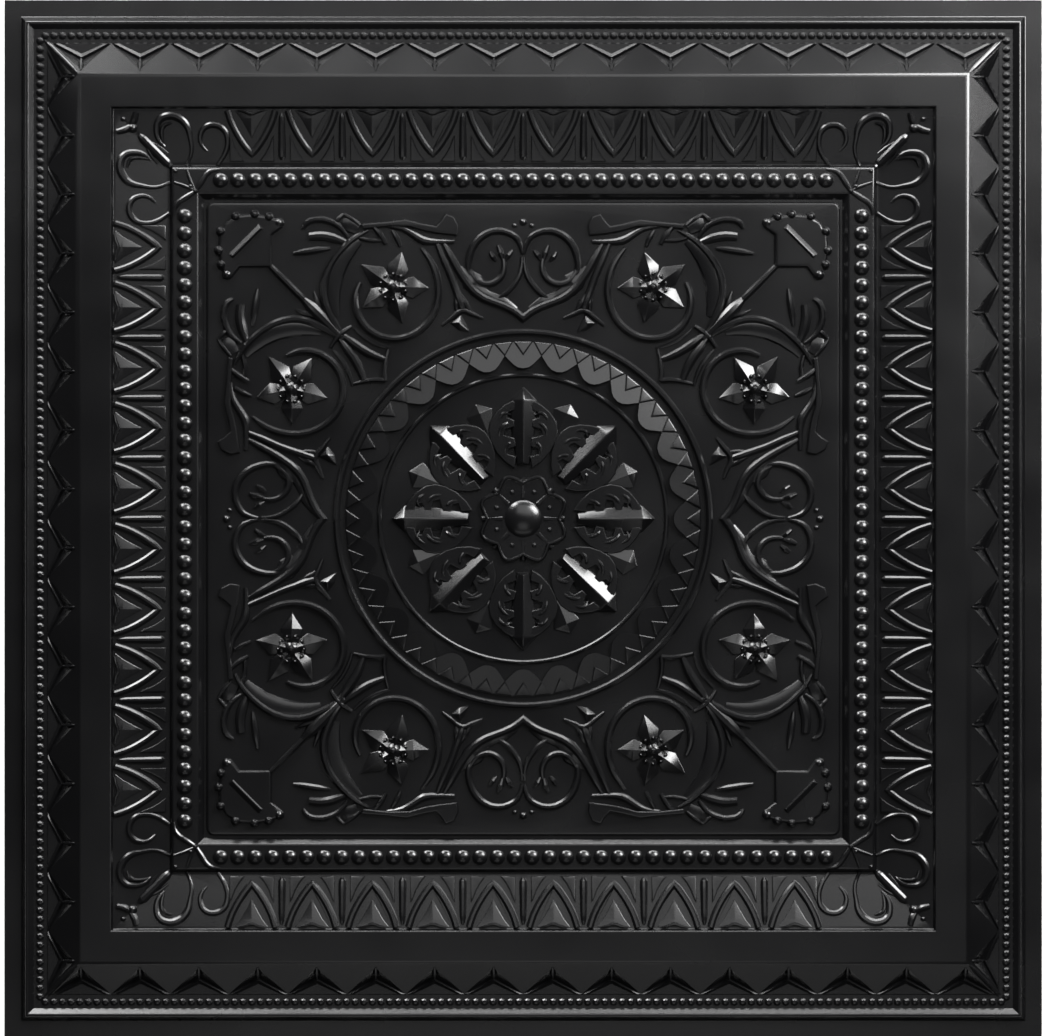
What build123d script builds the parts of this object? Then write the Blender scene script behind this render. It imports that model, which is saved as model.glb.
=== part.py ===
from build123d import *
import math
import os

os.makedirs("parts", exist_ok=True)

# The tile lies face up, with its flange's back on z = 0 and its centre on the origin.
tile_size = 603.0
sheet = 0.8

# Square mouldings, from the outer edge towards the centre, with heights above the flange's face
flange_width = 9.9
rim_outer_run = 3.0
rim_crest = 1.2
rim_height = 5.0
rim_inner_run = 3.2
channel_width = 7.9
channel_height = 2.5
saw_step = 0.4
saw_slope_width = 19.3
frame_width = 17.8
frame_height = 10.0
lip_run = 1.2
lip_drop = 2.0
band_width = 30.9
band_end_height = 1.5
bead_groove = 1.4
moulding_run = 1.7
moulding_width = 14.7
moulding_height = 4.0
inner_run = 3.5
inner_groove = 1.5
inner_groove_height = 0.5
pillow_height = 2.5

# Saw-tooth notches in the outer slope
saw_count = 16
saw_corner = 2.6
saw_depth = 9.4
saw_tip_gap = 3.5
saw_floor_height = 3.0

# Egg-and-dart band
egg_count = 10
egg_corner = 31.8
egg_half_width = 14.0
egg_tip_gap = 5.0
egg_bulge = 2.2
egg_ridge = 3.2
egg_ridge_height = 1.4
tongue_half_width = 9.9
tongue_length = 15.5
tongue_height = 1.4
dart_width = 5.0
dart_height = 2.0
dart_gap = 2.4
dart_length = 26.0

# Large beads
bead_count = 36
bead_corner = 15.6
bead_diameter = 9.0
bead_height = 2.9
bead_sides = 6

# Corner of the egg-and-dart band: a bar on the diagonal and two curls beside it
corner_bar_width = 6.5
corner_bar_height = 2.4
corner_boss = 9.5
curl_height = 1.6
curl_above_band = 17.0
near_curl_inset = 11.5

# Medallion rings and scallops
ring_radius = 108.3
ring_width = 3.4
ring_height = 1.8
inner_ring_radius = 83.3
inner_ring_width = 2.6
inner_ring_height = 1.0
ring_facets = 32
scallop_count = 28
scallop_outer_radius = 104.5
scallop_join_radius = 95.2
scallop_tip_radius = 87.4
scallop_height = 2.8
scallop_outer_height = 0.6
scallop_draft = 0.8

# Rosette
petal_count = 8
petal_root_radius = 31.5
petal_root_width = 10.0
petal_width = 18.4
petal_shoulder_radius = 66.5
petal_tip_radius = 76.5
petal_height = 4.0
petal_draft = 2.5
leaf_radius = 18.2
leaf_centre_radius = 50.0
leaf_height = 1.8
leaf_draft = 1.6
leaf_sides = 10
thorn_tip_radius = 73.0
thorn_shoulder_radius = 68.0
thorn_root_radius = 56.0
thorn_width = 15.0
thorn_height = 2.0
blossom_tip_radius = 26.0
blossom_valley_radius = 20.0
blossom_height = 2.2
blossom_draft = 1.4
dome_radius = 12.0
dome_height = 4.8
dome_sides = 10

# Flowers of the inner field
flower_x = 76.0
flower_y = 134.0
flower_petals = 5
flower_radius = 22.0
flower_waist = 14.0
flower_height = 4.0
flower_boss_radius = 7.5
flower_boss_height = 3.6

# Volute about each flower
volute_lift = 7.5
volute_radius = 21.5
volute_growth = 13.4
volute_start = 30.0
volute_sweep = 271.0
volute_steps = 8

# Ridges of the field's scrollwork, and where its groups stand
scroll_height = 2.0
stem_width = 3.6
oval_x = 15.0
oval_y = 151.0
arrow_x = 36.0
arrow_y = 113.0
fan_corner = 145.8
trumpet_corner = 80.7

# How far an ornament's foot goes below the face that carries it
root = 0.6
base_depth = 10.0

half = tile_size / 2


def polygon_face(corners):
    return Face(Wire.make_polygon(corners))


def faceted(corners, sides):
    return Solid(Shell([polygon_face([corners[i] for i in side]) for side in sides]))


def polar(radius, angle):
    """Point at an angle in degrees, turned clockwise from +Y."""
    return (radius * math.sin(math.radians(angle)), radius * math.cos(math.radians(angle)))


def pyramid(outline, apex, rise, level):
    """Peak with flat sides on an outline drawn at the given level."""
    reach = 1 + root / rise
    corners = []
    for x, y in outline:
        corners.append((apex[0] + reach * (x - apex[0]), apex[1] + reach * (y - apex[1]), level - root))
    count = len(outline)
    corners.append((apex[0], apex[1], level + rise))
    sides = [list(range(count))] + [[i, (i + 1) % count, count] for i in range(count)]
    return faceted(corners, sides)


def frustum(outline, centre, low_scale, high_scale, low, high):
    """Solid between two copies of an outline, each scaled about a centre."""
    count = len(outline)
    corners = []
    for scale, level in ((low_scale, low), (high_scale, high)):
        for x, y in outline:
            out = (x - centre[0], y - centre[1])
            corners.append((centre[0] + scale * out[0], centre[1] + scale * out[1], level))
    sides = [list(range(count)), list(range(count, 2 * count))]
    sides += [[i, (i + 1) % count, count + (i + 1) % count, count + i] for i in range(count)]
    return faceted(corners, sides)


def stud(centre, radius, top_radius, rise, level, count=8):
    """Round knob with flat sides and a flat crown."""
    flare = root * (radius - top_radius) / rise
    outline = []
    for k in range(count):
        x, y = polar(radius, 360 * (k + 0.5) / count)
        outline.append((centre[0] + x, centre[1] + y))
    return frustum(outline, centre, 1 + flare / radius, top_radius / radius, level - root, level + rise)


def bar(points, widths, rise, level, hip=None):
    """Roof-shaped ridge along straight runs, mitred where it turns, with its height following its width."""
    places = [Vector(x, y, level) for x, y in points]
    widest = max(widths)
    count = len(places)
    runs = [(b - a).normalized() for a, b in zip(places, places[1:])]
    corners = []
    crest = []
    for i, place in enumerate(places):
        before = runs[max(i - 1, 0)]
        after = runs[min(i, count - 2)]
        along = (before + after).normalized()
        across = Vector(-along.Y, along.X, 0) / along.dot(after)
        height = rise * widths[i] / widest
        inset = 0
        if hip is None or hip > 0:
            end = widths[i] / 2 if hip is None else hip
            inset = end if i == 0 else (-end if i == count - 1 else 0)
        peak = place + along * inset + Vector(0, 0, height)
        crest.append(peak)
        reach = 1 + root / height
        for side in (-0.5, 0.5):
            eave = place + across * (side * widths[i])
            corners.append(peak + (eave - peak) * reach)
    sides = []
    for i in range(count - 1):
        low = 2 * i
        sides.append([low, low + 1, low + 3, low + 2])
        for foot, far in ((low, low + 2), (low + 1, low + 3)):
            sides.append([foot, far, 2 * count + i])
            sides.append([far, 2 * count + i + 1, 2 * count + i])
    sides.append([0, 1, 2 * count])
    sides.append([2 * count - 2, 2 * count - 1, 3 * count - 1])
    return faceted(corners + crest, sides)


# Section of the square mouldings: distance from the centre and height above the flange's face
steps = [(half, 0.0)]


def step(run, height):
    """Adds a point of the section one run nearer the centre."""
    steps.append((steps[-1][0] - run, height))
    return steps[-1][0]


step(flange_width, 0)
step(rim_outer_run, rim_height)
step(rim_crest, rim_height)
step(rim_inner_run, channel_height)
step(channel_width, channel_height)
saw_foot = step(saw_step, saw_floor_height)
frame_outer = step(saw_slope_width, frame_height)
frame_inner = step(frame_width, frame_height)
step(lip_run, frame_height - lip_drop)
band_inner = step(band_width, band_end_height)
step(bead_groove, band_end_height)
moulding_outer = step(moulding_run, moulding_height)
moulding_inner = step(moulding_width, moulding_height)
groove_outer = step(inner_run, inner_groove_height)
panel_edge = step(inner_groove, inner_groove_height)
field = sheet + pillow_height


def moulded_eighth():
    """Tile between the +Y axis and the corner's diagonal, with plain mouldings and no ornament."""
    section = steps + [(0, inner_groove_height)]
    faces = []
    for (far, far_height), (near, near_height) in zip(section, section[1:]):
        corners = [(0, far, sheet + far_height), (far, far, sheet + far_height)]
        if near > 0:
            corners.append((near, near, sheet + near_height))
        corners.append((0, near, sheet + near_height))
        faces.append(polygon_face(corners))
    edge = [(0, half, -base_depth), (half, half, -base_depth), (half, half, sheet), (0, half, sheet)]
    faces.append(polygon_face(edge))
    faces.append(polygon_face([(0, 0, -base_depth), edge[1], edge[0]]))
    for across in (0, 1):
        side = [(far * across, far, sheet + height) for far, height in section]
        side += [(0, 0, -base_depth), (half * across, half, -base_depth)]
        faces.append(polygon_face(side))
    return Solid(Shell(faces))


def saw_notches():
    """Three-sided notches with level floors and drafted walls, one tooth left between each pair."""
    pitch = 2 * (saw_foot - saw_corner) / saw_count
    floor = sheet + saw_floor_height
    ceiling = sheet + frame_height + 1
    floor_tip = saw_foot - saw_depth
    edge_tip = frame_outer + saw_tip_gap
    edge_lift = (saw_foot - edge_tip) / saw_slope_width * (frame_height - saw_floor_height)
    growth = (floor_tip - edge_tip) / edge_lift * (ceiling - floor) / saw_depth
    notches = []
    for i in range(saw_count // 2):
        x = (i + 0.5) * pitch
        outline = [(x - pitch / 2, saw_foot), (x + pitch / 2, saw_foot), (x, floor_tip)]
        notches.append(frustum(outline, (x, saw_foot), 1, 1 + growth, floor, ceiling))
    return notches


def band_ornament():
    """Bowed V ridges with a tongue in each and a dart between each pair, on the sloping band."""
    fall = frame_height - lip_drop - band_end_height
    slope = math.hypot(fall, band_width) / band_width
    foot = (0, band_inner, sheet + band_end_height)
    face = Plane(origin=foot, x_dir=(1, 0, 0), z_dir=(0, -fall, band_width))
    reach = (frame_inner + lip_run - band_inner) * slope
    pitch = 2 * (band_inner - egg_corner) / egg_count
    pieces = []
    middle = ((egg_half_width / 2 + egg_bulge), (reach + egg_tip_gap) / 2 - egg_bulge / 2)
    for i in range(egg_count // 2):
        x = (i + 0.5) * pitch
        bow = [(x - egg_half_width, reach), (x - middle[0], middle[1]), (x, egg_tip_gap)]
        bow += [(x + middle[0], middle[1]), (x + egg_half_width, reach)]
        pieces.append(bar(bow, [egg_ridge] * 5, egg_ridge_height, 0, 0))
        tongue = [(x - tongue_half_width, reach), (x, reach - tongue_length), (x + tongue_half_width, reach)]
        pieces.append(pyramid(tongue, (x, reach), tongue_height, 0))
        dart = [(i * pitch, dart_gap), (i * pitch, dart_gap + dart_length)]
        pieces.append(bar(dart, [dart_width] * 2, dart_height, 0))
    return [face.from_local_coords(piece) for piece in pieces + band_corner()]


def large_beads():
    """Row of beads along the middle of the inner moulding."""
    row = (moulding_inner + moulding_outer) / 2
    pitch = 2 * (row - bead_corner) / bead_count
    beads = []
    for i in range(bead_count // 2):
        centre = ((i + 0.5) * pitch, row)
        outline = []
        for k in range(bead_sides):
            x, y = polar(bead_diameter / 2, 360 * k / bead_sides)
            outline.append((centre[0] + x, centre[1] + y))
        beads.append(pyramid(outline, centre, bead_height, sheet + moulding_height))
    return beads


def pillow():
    """Inner panel: two drafted steps up to the level field."""
    low = sheet + inner_groove_height
    corner = panel_edge
    outline = [(-corner, -corner), (corner, -corner), (corner, corner), (-corner, corner)]
    rise = field - low
    return [
        frustum(outline, (0, 0), 1, 1 - 0.9 / corner, low - root, low + 0.7 * rise),
        frustum(outline, (0, 0), 1 - 0.5 / corner, 1 - 2.4 / corner, low + 0.2 * rise, field),
    ]


def medallion_rings():
    """Two ridged rings about the centre, over a little more than one eighth of the circle."""
    pieces = []
    turn = 360 / ring_facets
    for radius, width, rise in (
        (ring_radius, ring_width, ring_height),
        (inner_ring_radius, inner_ring_width, inner_ring_height),
    ):
        points = [polar(radius, k * turn) for k in range(-1, ring_facets // 8 + 2)]
        pieces.append(bar(points, [width] * len(points), rise, field, 0))
    return pieces


def scallops():
    """Belt of scales between the rings, each a flat facet that slopes outwards."""
    pitch = 360 / scallop_count
    fall = (scallop_height - scallop_outer_height) / (scallop_outer_radius - scallop_tip_radius)
    low = field - root
    corners = []
    sides = []
    floor = []
    scales = scallop_count // 8 + 4

    def add(radius, angle, turn):
        drop = fall * (radius * math.cos(math.radians(turn)) - scallop_tip_radius)
        corners.append(polar(radius, angle) + (field + scallop_height - drop,))
        inward = scallop_draft if radius < scallop_outer_radius else -scallop_draft
        corners.append(polar(radius - inward, angle) + (low,))

    for k in range(scales + 1):
        angle = (k - 2) * pitch
        add(scallop_outer_radius, angle - pitch / 2, pitch / 2)
        add(scallop_join_radius, angle - pitch / 2, pitch / 2)
        for turn in (-0.25, 0.25):
            add(scallop_tip_radius + 0.6, angle + turn * pitch, turn * pitch)
    for k in range(scales):
        a = 8 * k
        sides.append([a, a + 2, a + 4, a + 6, a + 10, a + 8])
        sides.append([a, a + 1, a + 9, a + 8])
        for near, far in ((a + 2, a + 4), (a + 4, a + 6), (a + 6, a + 10)):
            sides += [[near, near + 1, far], [near + 1, far + 1, far]]
            floor.append(near + 1)
    last = 8 * scales
    sides += [[0, 1, 3, 2], [last, last + 1, last + 3, last + 2]]
    sides.append([8 * k + 1 for k in range(scales, -1, -1)] + floor + [last + 3])
    return [faceted(corners[: last + 4], sides)]


def rosette():
    """Eight roof-shaped petals on round leaves, with thorns between them."""
    pieces = []
    for k in range(-1, 3):
        angle = k * 360 / petal_count

        def at(radius, offset=0):
            return polar(math.hypot(radius, offset), angle + math.degrees(math.atan2(offset, radius)))

        leaf = at(leaf_centre_radius)
        pieces.append(stud(leaf, leaf_radius, leaf_radius - leaf_draft, leaf_height, field, leaf_sides))
        corners = [
            at(petal_root_radius, -petal_root_width / 2) + (field - root,),
            at(petal_root_radius, petal_root_width / 2) + (field - root,),
            at(petal_shoulder_radius, petal_width / 2) + (field - root,),
            at(petal_tip_radius) + (field - root,),
            at(petal_shoulder_radius, -petal_width / 2) + (field - root,),
            at(petal_root_radius + petal_draft) + (field + petal_height,),
            at(petal_tip_radius - petal_draft) + (field + petal_height,),
        ]
        flanks = [[1, 2, 6], [1, 6, 5], [4, 0, 5], [4, 5, 6]]
        pieces.append(faceted(corners, [[0, 1, 2, 3, 4], [0, 1, 5], [2, 3, 6], [3, 4, 6]] + flanks))
        angle += 180 / petal_count
        thorn = [at(thorn_root_radius, side * thorn_width / 3) for side in (-1, 1)]
        thorn += [at(thorn_shoulder_radius, thorn_width / 2), at(thorn_tip_radius)]
        thorn.append(at(thorn_shoulder_radius, -thorn_width / 2))
        pieces.append(pyramid(thorn, at(thorn_shoulder_radius - 2), thorn_height, field))
    return pieces


def blossom():
    """Eight-pointed blossom and dome at the centre."""
    star = []
    for k in range(petal_count):
        angle = k * 360 / petal_count
        star.append(polar(blossom_valley_radius, angle))
        star.append(polar(blossom_tip_radius, angle + 180 / petal_count))
    crown = stud((0, 0), dome_radius, dome_radius * 0.7, dome_height * 0.7, field, dome_sides)
    cap = stud((0, 0), dome_radius * 0.78, dome_radius * 0.3, dome_height, field, dome_sides)
    flare = blossom_draft / blossom_tip_radius
    return [frustum(star, (0, 0), 1, 1 - flare, field - root, field + blossom_height), crown, cap]


def flower():
    """Five ridged petals about a boss."""
    pieces = []
    for k in range(flower_petals):
        middle = 360 * k / flower_petals - 90

        def at(radius, turn):
            x, y = polar(radius, middle + turn)
            return (flower_x + x, flower_y + y)

        outline = [(flower_x, flower_y), at(flower_waist, -30), at(flower_radius, 0), at(flower_waist, 30)]
        pieces.append(pyramid(outline, at(flower_boss_radius, 0), flower_height, field))
    boss = stud((flower_x, flower_y), flower_boss_radius, flower_boss_radius / 2, flower_boss_height, field, 6)
    return pieces + [boss]


def volute():
    """Ridge that winds round the flower and opens out at its end."""
    points = []
    for k in range(volute_steps + 1):
        share = k / volute_steps
        x, y = polar(volute_radius + volute_growth * share**4, 90 - volute_start + volute_sweep * share)
        points.append((flower_x + x, flower_y - volute_lift + y))
    return [bar(points, [stem_width] * len(points), scroll_height, field)]


def axis_scrolls():
    """Oval curl with a bud beside the +Y axis, and the stem it grows from."""
    x, y = oval_x, oval_y
    curl = [(x - 13, y + 5), (x - 8, y + 13), (x, y + 16), (x + 9, y + 13)]
    curl += [(x + 15, y + 4), (x + 15, y - 5)]
    hook = [(x + 15, y - 9), (x + 7, y - 15), (x - 1, y - 13), (x - 4, y - 4)]
    side = [(x - 14, y - 3), (x - 11, y - 14), (x - 2, y - 23)]
    stem = [(0, y - 34), (x, y - 26.5), (x + 13, y - 20), (x + 23, y - 6), (x + 31, y + 8)]
    pieces = [
        bar(curl, [2, 3.6, 3.6, 4.4, 4.4, 3], scroll_height, field),
        bar(hook, [stem_width] * 4, scroll_height, field),
        bar(side, [2.4, 3, 2.4], scroll_height, field),
        bar(stem, [4, 4, 5.5, 5, 3.6], scroll_height, field),
    ]
    bud = [(x - 5, y - 2), (x - 8, y + 4), (x - 1.5, y + 6.5), (x + 3.5, y + 3), (x, y - 2)]
    return pieces + [pyramid(bud, (x - 2, y + 2), scroll_height, field)]


def fan_stem():
    """Second stem beside the flower, spreading at its foot over an arrow-shaped tip."""
    x, y = arrow_x, arrow_y
    outline = [(x - 5, y - 4.5), (x + 1.5, y - 3.5), (x + 6, y), (x + 0.5, y + 6)]
    return [
        bar([(x - 0.5, y + 8), (x + 4, y + 22), (x + 15, y + 46.5)], [5.5, 3.6, 3.6], scroll_height, field),
        bar([(x - 12, y + 3.5), (x - 0.5, y + 8), (x + 11, y - 0.5)], [1.6, 2.4, 1.6], 1.2, field),
        pyramid(outline, (x + 0.5, y), 3.0, field),
    ]


def acanthus():
    """Bone-shaped leaf above the flower, the thorn and the three fingers beyond it."""
    x, y = flower_x, flower_y
    bone = [(x - 37.5, y + 32), (x - 32.5, y + 37), (x - 25, y + 34.8), (x - 6, y + 38), (x + 16, y + 36)]
    lower = [(x - 36, y + 27.3), (x - 18, y + 27.3), (x - 9, y + 33.5), (x + 2, y + 36)]
    crescent = [(x + 14, y + 33), (x + 29, y + 21), (x + 37, y + 6), (x + 37, y - 8), (x + 30, y - 25)]
    fingers = [[(x + 27, y + 31.5), (x + 35, y + 38.5), (x + 46, y + 39.5), (x + 52, y + 34.5)]]
    fingers.append([(x + 28, y + 27.5), (x + 38, y + 30), (x + 48, y + 30)])
    fingers.append([(x + 37, y + 23), (x + 57, y + 20.3)])
    thorn = [(x + 19.5, y + 36.5), (x + 28, y + 43), (x + 33.5, y + 38), (x + 27, y + 31.5)]
    leaves = [
        bar(bone, [9, 12, 4.5, 4, 3], scroll_height, field),
        bar(lower, [3.2] * 4, scroll_height, field),
        bar(crescent, [2.5, 7, 9, 9, 3], scroll_height * 1.2, field),
        pyramid(thorn, (x + 26.5, y + 37.5), 2.0, field),
    ]
    return leaves + [bar(finger, [4] * len(finger), scroll_height, field) for finger in fingers]


def corner_fan():
    """Shell on the corner's diagonal with beads along its rim, and the rod that carries it."""
    c = fan_corner
    shell = [(c, c), (c, c + 18.7), (c - 7.5, c + 25.2), (c - 3, c + 30), (c + 12, c + 33.5)]
    shell += [(c + 26, c + 31)]
    shell += [(y, x) for x, y in reversed(shell[1:])]
    centre = (c + 12, c + 12)
    rod = [(c + 1, c + 1), (c - 20, c - 20), (c - 27, c - 27), (c - 38, c - 38)]
    pieces = [
        frustum(shell, centre, 1.02, 0.95, field - root, field + 1.5),
        bar(rod, [3, 3.6, 7, 4], scroll_height * 1.2, field, 0.5),
        bar([(c - 28.5, c - 23), (c - 24.5, c - 14.5)], [3, 1.6], 1.4, field),
    ]
    for along in (5.6, 9.0):
        near = (c + along, c + along + 17)
        pieces.append(bar([near, (near[1], near[0])], [2.4, 2.4], 1.8, field + 1.5))
    for x, y in ((1, 28.5), (10, 29), (20.5, 28)):
        outline = [(c + x + dx, c + y + dy) for dx, dy in ((-3, 0), (0, 3), (3, 0), (0, -3))]
        pieces.append(pyramid(outline, (c + x, c + y), 3.2, field))
    return pieces


def trumpet():
    """Flared mouth at the rod's inner end, with a collar across its throat."""
    c = trumpet_corner
    return [
        bar([(c + 18, c + 30.5), (c + 25, c + 25), (c + 30.5, c + 18)], [2, 3.4, 2], 1.6, field),
        bar([(c + 22, c + 25.5), (c + 8, c + 16), (c + 1, c + 12.5)], [4.4, 4.4, 3.2], 2.4, field),
        bar([(c - 1.5, c + 17), (c, c), (c + 17, c - 1.5)], [2, 4, 2], 1.6, field),
    ]


def band_corner():
    """Bar and boss on the diagonal of the sloping band, with a near and a far curl beside it."""
    row = curl_above_band
    x = band_inner - near_curl_inset
    near = [(x - 1, 0.5), (x - 1.6, row - 2), (x + 2.4, row + 8), (x + 10, row + 10.5)]
    near += [(x + 16, row + 6), (x + 15, row - 4)]
    far = [(x - 17, 0.5), (x - 22.5, row - 3), (x - 20.5, row + 3.6), (x - 15, row + 6.5)]
    far += [(x - 8.6, row + 3), (x - 9, row - 6)]
    return [
        bar(near, [2, 2, 4, 4.6, 4.6, 2], curl_height, 0),
        bar(far, [3, 3.6, 3.6, 3.6, 3.6, 2], curl_height, 0),
    ]


def corner_bar():
    """Bar up the band's mitre and the four-armed boss at its outer end."""
    low = sheet + band_end_height
    fall = frame_height - lip_drop - band_end_height
    foot = band_inner - 1
    head = band_inner + band_width * 0.55
    boss = band_inner + band_width * 0.72
    slope = fall / band_width
    reach = corner_bar_width / 2 / math.sqrt(2)
    corners = []
    for inset, lift, share in ((0, -root, 1.25), (1.2, corner_bar_height, 0.6)):
        for place in (foot + inset, head - inset):
            spread = reach * share
            level = low + (place - band_inner) * slope + lift
            corners += [(place - spread, place + spread, level), (place + spread, place - spread, level)]
    ends = [[0, 1, 5, 4], [2, 3, 7, 6]]
    rod = faceted(corners, [[0, 1, 3, 2], [4, 5, 7, 6], [0, 2, 6, 4], [1, 3, 7, 5]] + ends)
    arm = corner_boss
    star = [(arm, arm * 0.3), (arm * 0.35, arm * 0.35), (arm * 0.3, arm), (-arm * 0.35, arm * 0.8)]
    star += [(-arm * 0.45, arm * 0.1), (-arm * 0.45, -arm * 0.45)]
    star += [(arm * 0.1, -arm * 0.45), (arm * 0.8, -arm * 0.35)]
    outline = [(boss + x, boss + y) for x, y in star]
    dip = arm * 0.55 * slope
    level = low + (boss - band_inner) * slope - dip
    return [rod, pyramid(outline, (boss, boss), corner_bar_height + dip, level)]


def moulding_cross():
    """Crossed ridges on the inner moulding's corner, after its last bead."""
    c = moulding_inner
    level = sheet + moulding_height
    return [
        bar([(c - 12.5, c + 11.3), (c - 5.5, c + 9.5), (c + 2.5, c + 2.5)], [2.4, 3.4, 3.4], 1.4, level, 0.5),
        bar([(c + 2.5, c + 2.5), (c + 5.5, c + 11.3)], [2.4, 2], 1.0, level),
    ]


def worked_eighth(pieces):
    """One eighth with its notches cut and the given ornament fused on, trimmed to its own wedge."""
    front = moulded_eighth().cut(*saw_notches()).fuse(*pieces)
    reach = tile_size
    wedge = frustum([(0, 0), (0, reach), (reach, reach)], (0, 0), 1, 1, -2 * base_depth, 2 * frame_height)
    return [face for face in front.intersect(wedge).faces() if face.normal_at().Z > 0.05]


def tile():
    """Sheet between its worked front and a plainer back that follows it one thickness lower."""
    plain = pillow() + medallion_rings() + scallops() + rosette() + blossom()
    trim = band_ornament() + large_beads() + moulding_cross() + corner_bar() + flower() + volute()
    trim += axis_scrolls() + fan_stem() + acanthus() + corner_fan() + trumpet()
    front = worked_eighth(plain + trim)
    back = [face.moved(Location((0, 0, -sheet))) for face in worked_eighth(pillow() + blossom())]
    edge = polygon_face([(0, half, 0), (half, half, 0), (half, half, sheet), (0, half, sheet)])
    skin = front + back + [edge]
    for normal in ((1, -1, 0), (1, 0, 0), (0, 1, 0)):
        skin += [face.mirror(Plane(origin=(0, 0, 0), z_dir=normal)) for face in skin]
    return Solid(Shell(skin))


tile_sheet = tile()
export_step(tile_sheet, "parts/tile_sheet.step")
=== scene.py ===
import bpy
import math
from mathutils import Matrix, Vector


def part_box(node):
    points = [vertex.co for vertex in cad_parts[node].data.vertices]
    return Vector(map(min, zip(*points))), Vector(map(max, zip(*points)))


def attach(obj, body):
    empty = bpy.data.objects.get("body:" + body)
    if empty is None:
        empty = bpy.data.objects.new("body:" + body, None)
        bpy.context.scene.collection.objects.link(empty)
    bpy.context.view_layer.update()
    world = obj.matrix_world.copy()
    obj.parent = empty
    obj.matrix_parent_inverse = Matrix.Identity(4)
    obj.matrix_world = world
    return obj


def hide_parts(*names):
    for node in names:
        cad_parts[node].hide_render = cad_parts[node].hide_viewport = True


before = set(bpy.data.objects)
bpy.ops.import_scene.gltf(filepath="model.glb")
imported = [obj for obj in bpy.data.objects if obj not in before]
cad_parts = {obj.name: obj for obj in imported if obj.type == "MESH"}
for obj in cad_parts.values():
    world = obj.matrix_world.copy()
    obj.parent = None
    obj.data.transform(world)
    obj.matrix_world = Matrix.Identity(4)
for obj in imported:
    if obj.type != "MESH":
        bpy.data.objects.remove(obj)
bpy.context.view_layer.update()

mm = 0.001
gauge = 0.8  # thickness of the sheet, and the height of the flange's face
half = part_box("tile_sheet")[1][0] / mm  # half the tile's side


def only(piece):
    # one piece selected and active, everything else deselected
    bpy.ops.object.select_all(action="DESELECT")
    piece.select_set(True)
    bpy.context.view_layer.objects.active = piece


def editAll(piece):
    only(piece)
    bpy.ops.object.mode_set(mode="EDIT")
    bpy.ops.mesh.select_all(action="SELECT")


def objectMode():
    bpy.ops.object.mode_set(mode="OBJECT")


def joined(pieces):
    # pieces that stand clear of each other become one mesh
    only(pieces[0])
    for piece in pieces[1:]:
        piece.select_set(True)
    if len(pieces) > 1:
        bpy.ops.object.join()
    return pieces[0]


def duplicate(piece):
    # a copy with its own mesh
    copy = piece.copy()
    copy.data = piece.data.copy()
    bpy.context.collection.objects.link(copy)
    return copy


def repeated(piece, offsets):
    # the piece and its copies, moved by the offsets, as one mesh
    copies = [piece]
    for x, y in offsets:
        copy = duplicate(piece)
        for point in copy.data.vertices:
            point.co.x += x * mm
            point.co.y += y * mm
        copies.append(copy)
    return joined(copies)


def combine(block, tool, operation):
    # a boolean by hand, which uses the tool up
    only(block)
    cut = block.modifiers.new("cut", "BOOLEAN")
    cut.solver = "MANIFOLD"
    cut.operation = operation
    cut.object = tool
    bpy.ops.object.modifier_apply(modifier="cut")
    bpy.data.objects.remove(tool)


def polar(radius, angle):
    # point at an angle in degrees, clockwise from +Y
    return (radius * math.sin(math.radians(angle)), radius * math.cos(math.radians(angle)))


def turned(points, angle):
    # points drawn about the +Y axis, turned clockwise about the tile's centre
    c, s = math.cos(math.radians(angle)), math.sin(math.radians(angle))
    return [(x * c + y * s, y * c - x * s) for x, y in points]


def mirrored(points):
    # the same points on the other side of the corner's diagonal
    return [(y, x) for x, y in points]


# square mouldings: run towards the centre and rise of each flat in mm, from the tile's edge inwards
mouldings = {
    "steps": [
        (9.9, 0), (3.0, 5.0), (1.2, 0), (3.2, -2.5), (7.9, 0), (0.4, 0.5), (19.3, 7.0), (17.8, 0),
        (1.2, -2.0), (30.9, -6.5), (1.4, 0), (1.7, 2.5), (14.7, 0), (3.5, -3.5),
    ],
    "rounding": {1: 0.5, 2: 0.55, 3: 0.55, 7: 0.9, 8: 0.6, 9: 0.4, 12: 0.8, 13: 0.8},  # by the step's number
    "depth": 6.0,
}
rings = [(half, 0.0)]
for run, rise in mouldings["steps"]:
    rings.append((rings[-1][0] - run, rings[-1][1] + rise))
sawFoot, frameOuter, frameInner, bandOuter, bandInner = [rings[i][0] for i in (6, 7, 8, 9, 10)]
mouldingOuter, mouldingInner, panelFloor = rings[12][0], rings[13][0], rings[14]
fieldLevel = gauge + 2.5
mouldingLevel = gauge + 4.0


def levelAt(x, y):
    # height in mm of the plain mouldings under a point
    reach = max(abs(x), abs(y))
    for (far, farRise), (near, nearRise) in zip(rings, rings[1:]):
        if near <= reach <= far:
            share = (far - reach) / (far - near)
            return gauge + farRise + share * (nearRise - farRise)
    return fieldLevel


def selectNothing(piece, kind):
    # back in object mode with nothing selected, ready for faces or edges to be chosen
    editAll(piece)
    bpy.ops.mesh.select_mode(type=kind)
    bpy.ops.mesh.select_all(action="DESELECT")
    objectMode()


def roundEdges(block, chosen, width, segments):
    # bevels the edges whose two ends both pass the test
    selectNothing(block, "EDGE")
    points = block.data.vertices
    for edge in block.data.edges:
        edge.select = all(chosen(points[v].co / mm) for v in edge.vertices)
    bpy.ops.object.mode_set(mode="EDIT")
    bpy.ops.mesh.bevel(offset=width * mm, segments=segments, affect="EDGES")
    objectMode()


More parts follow.
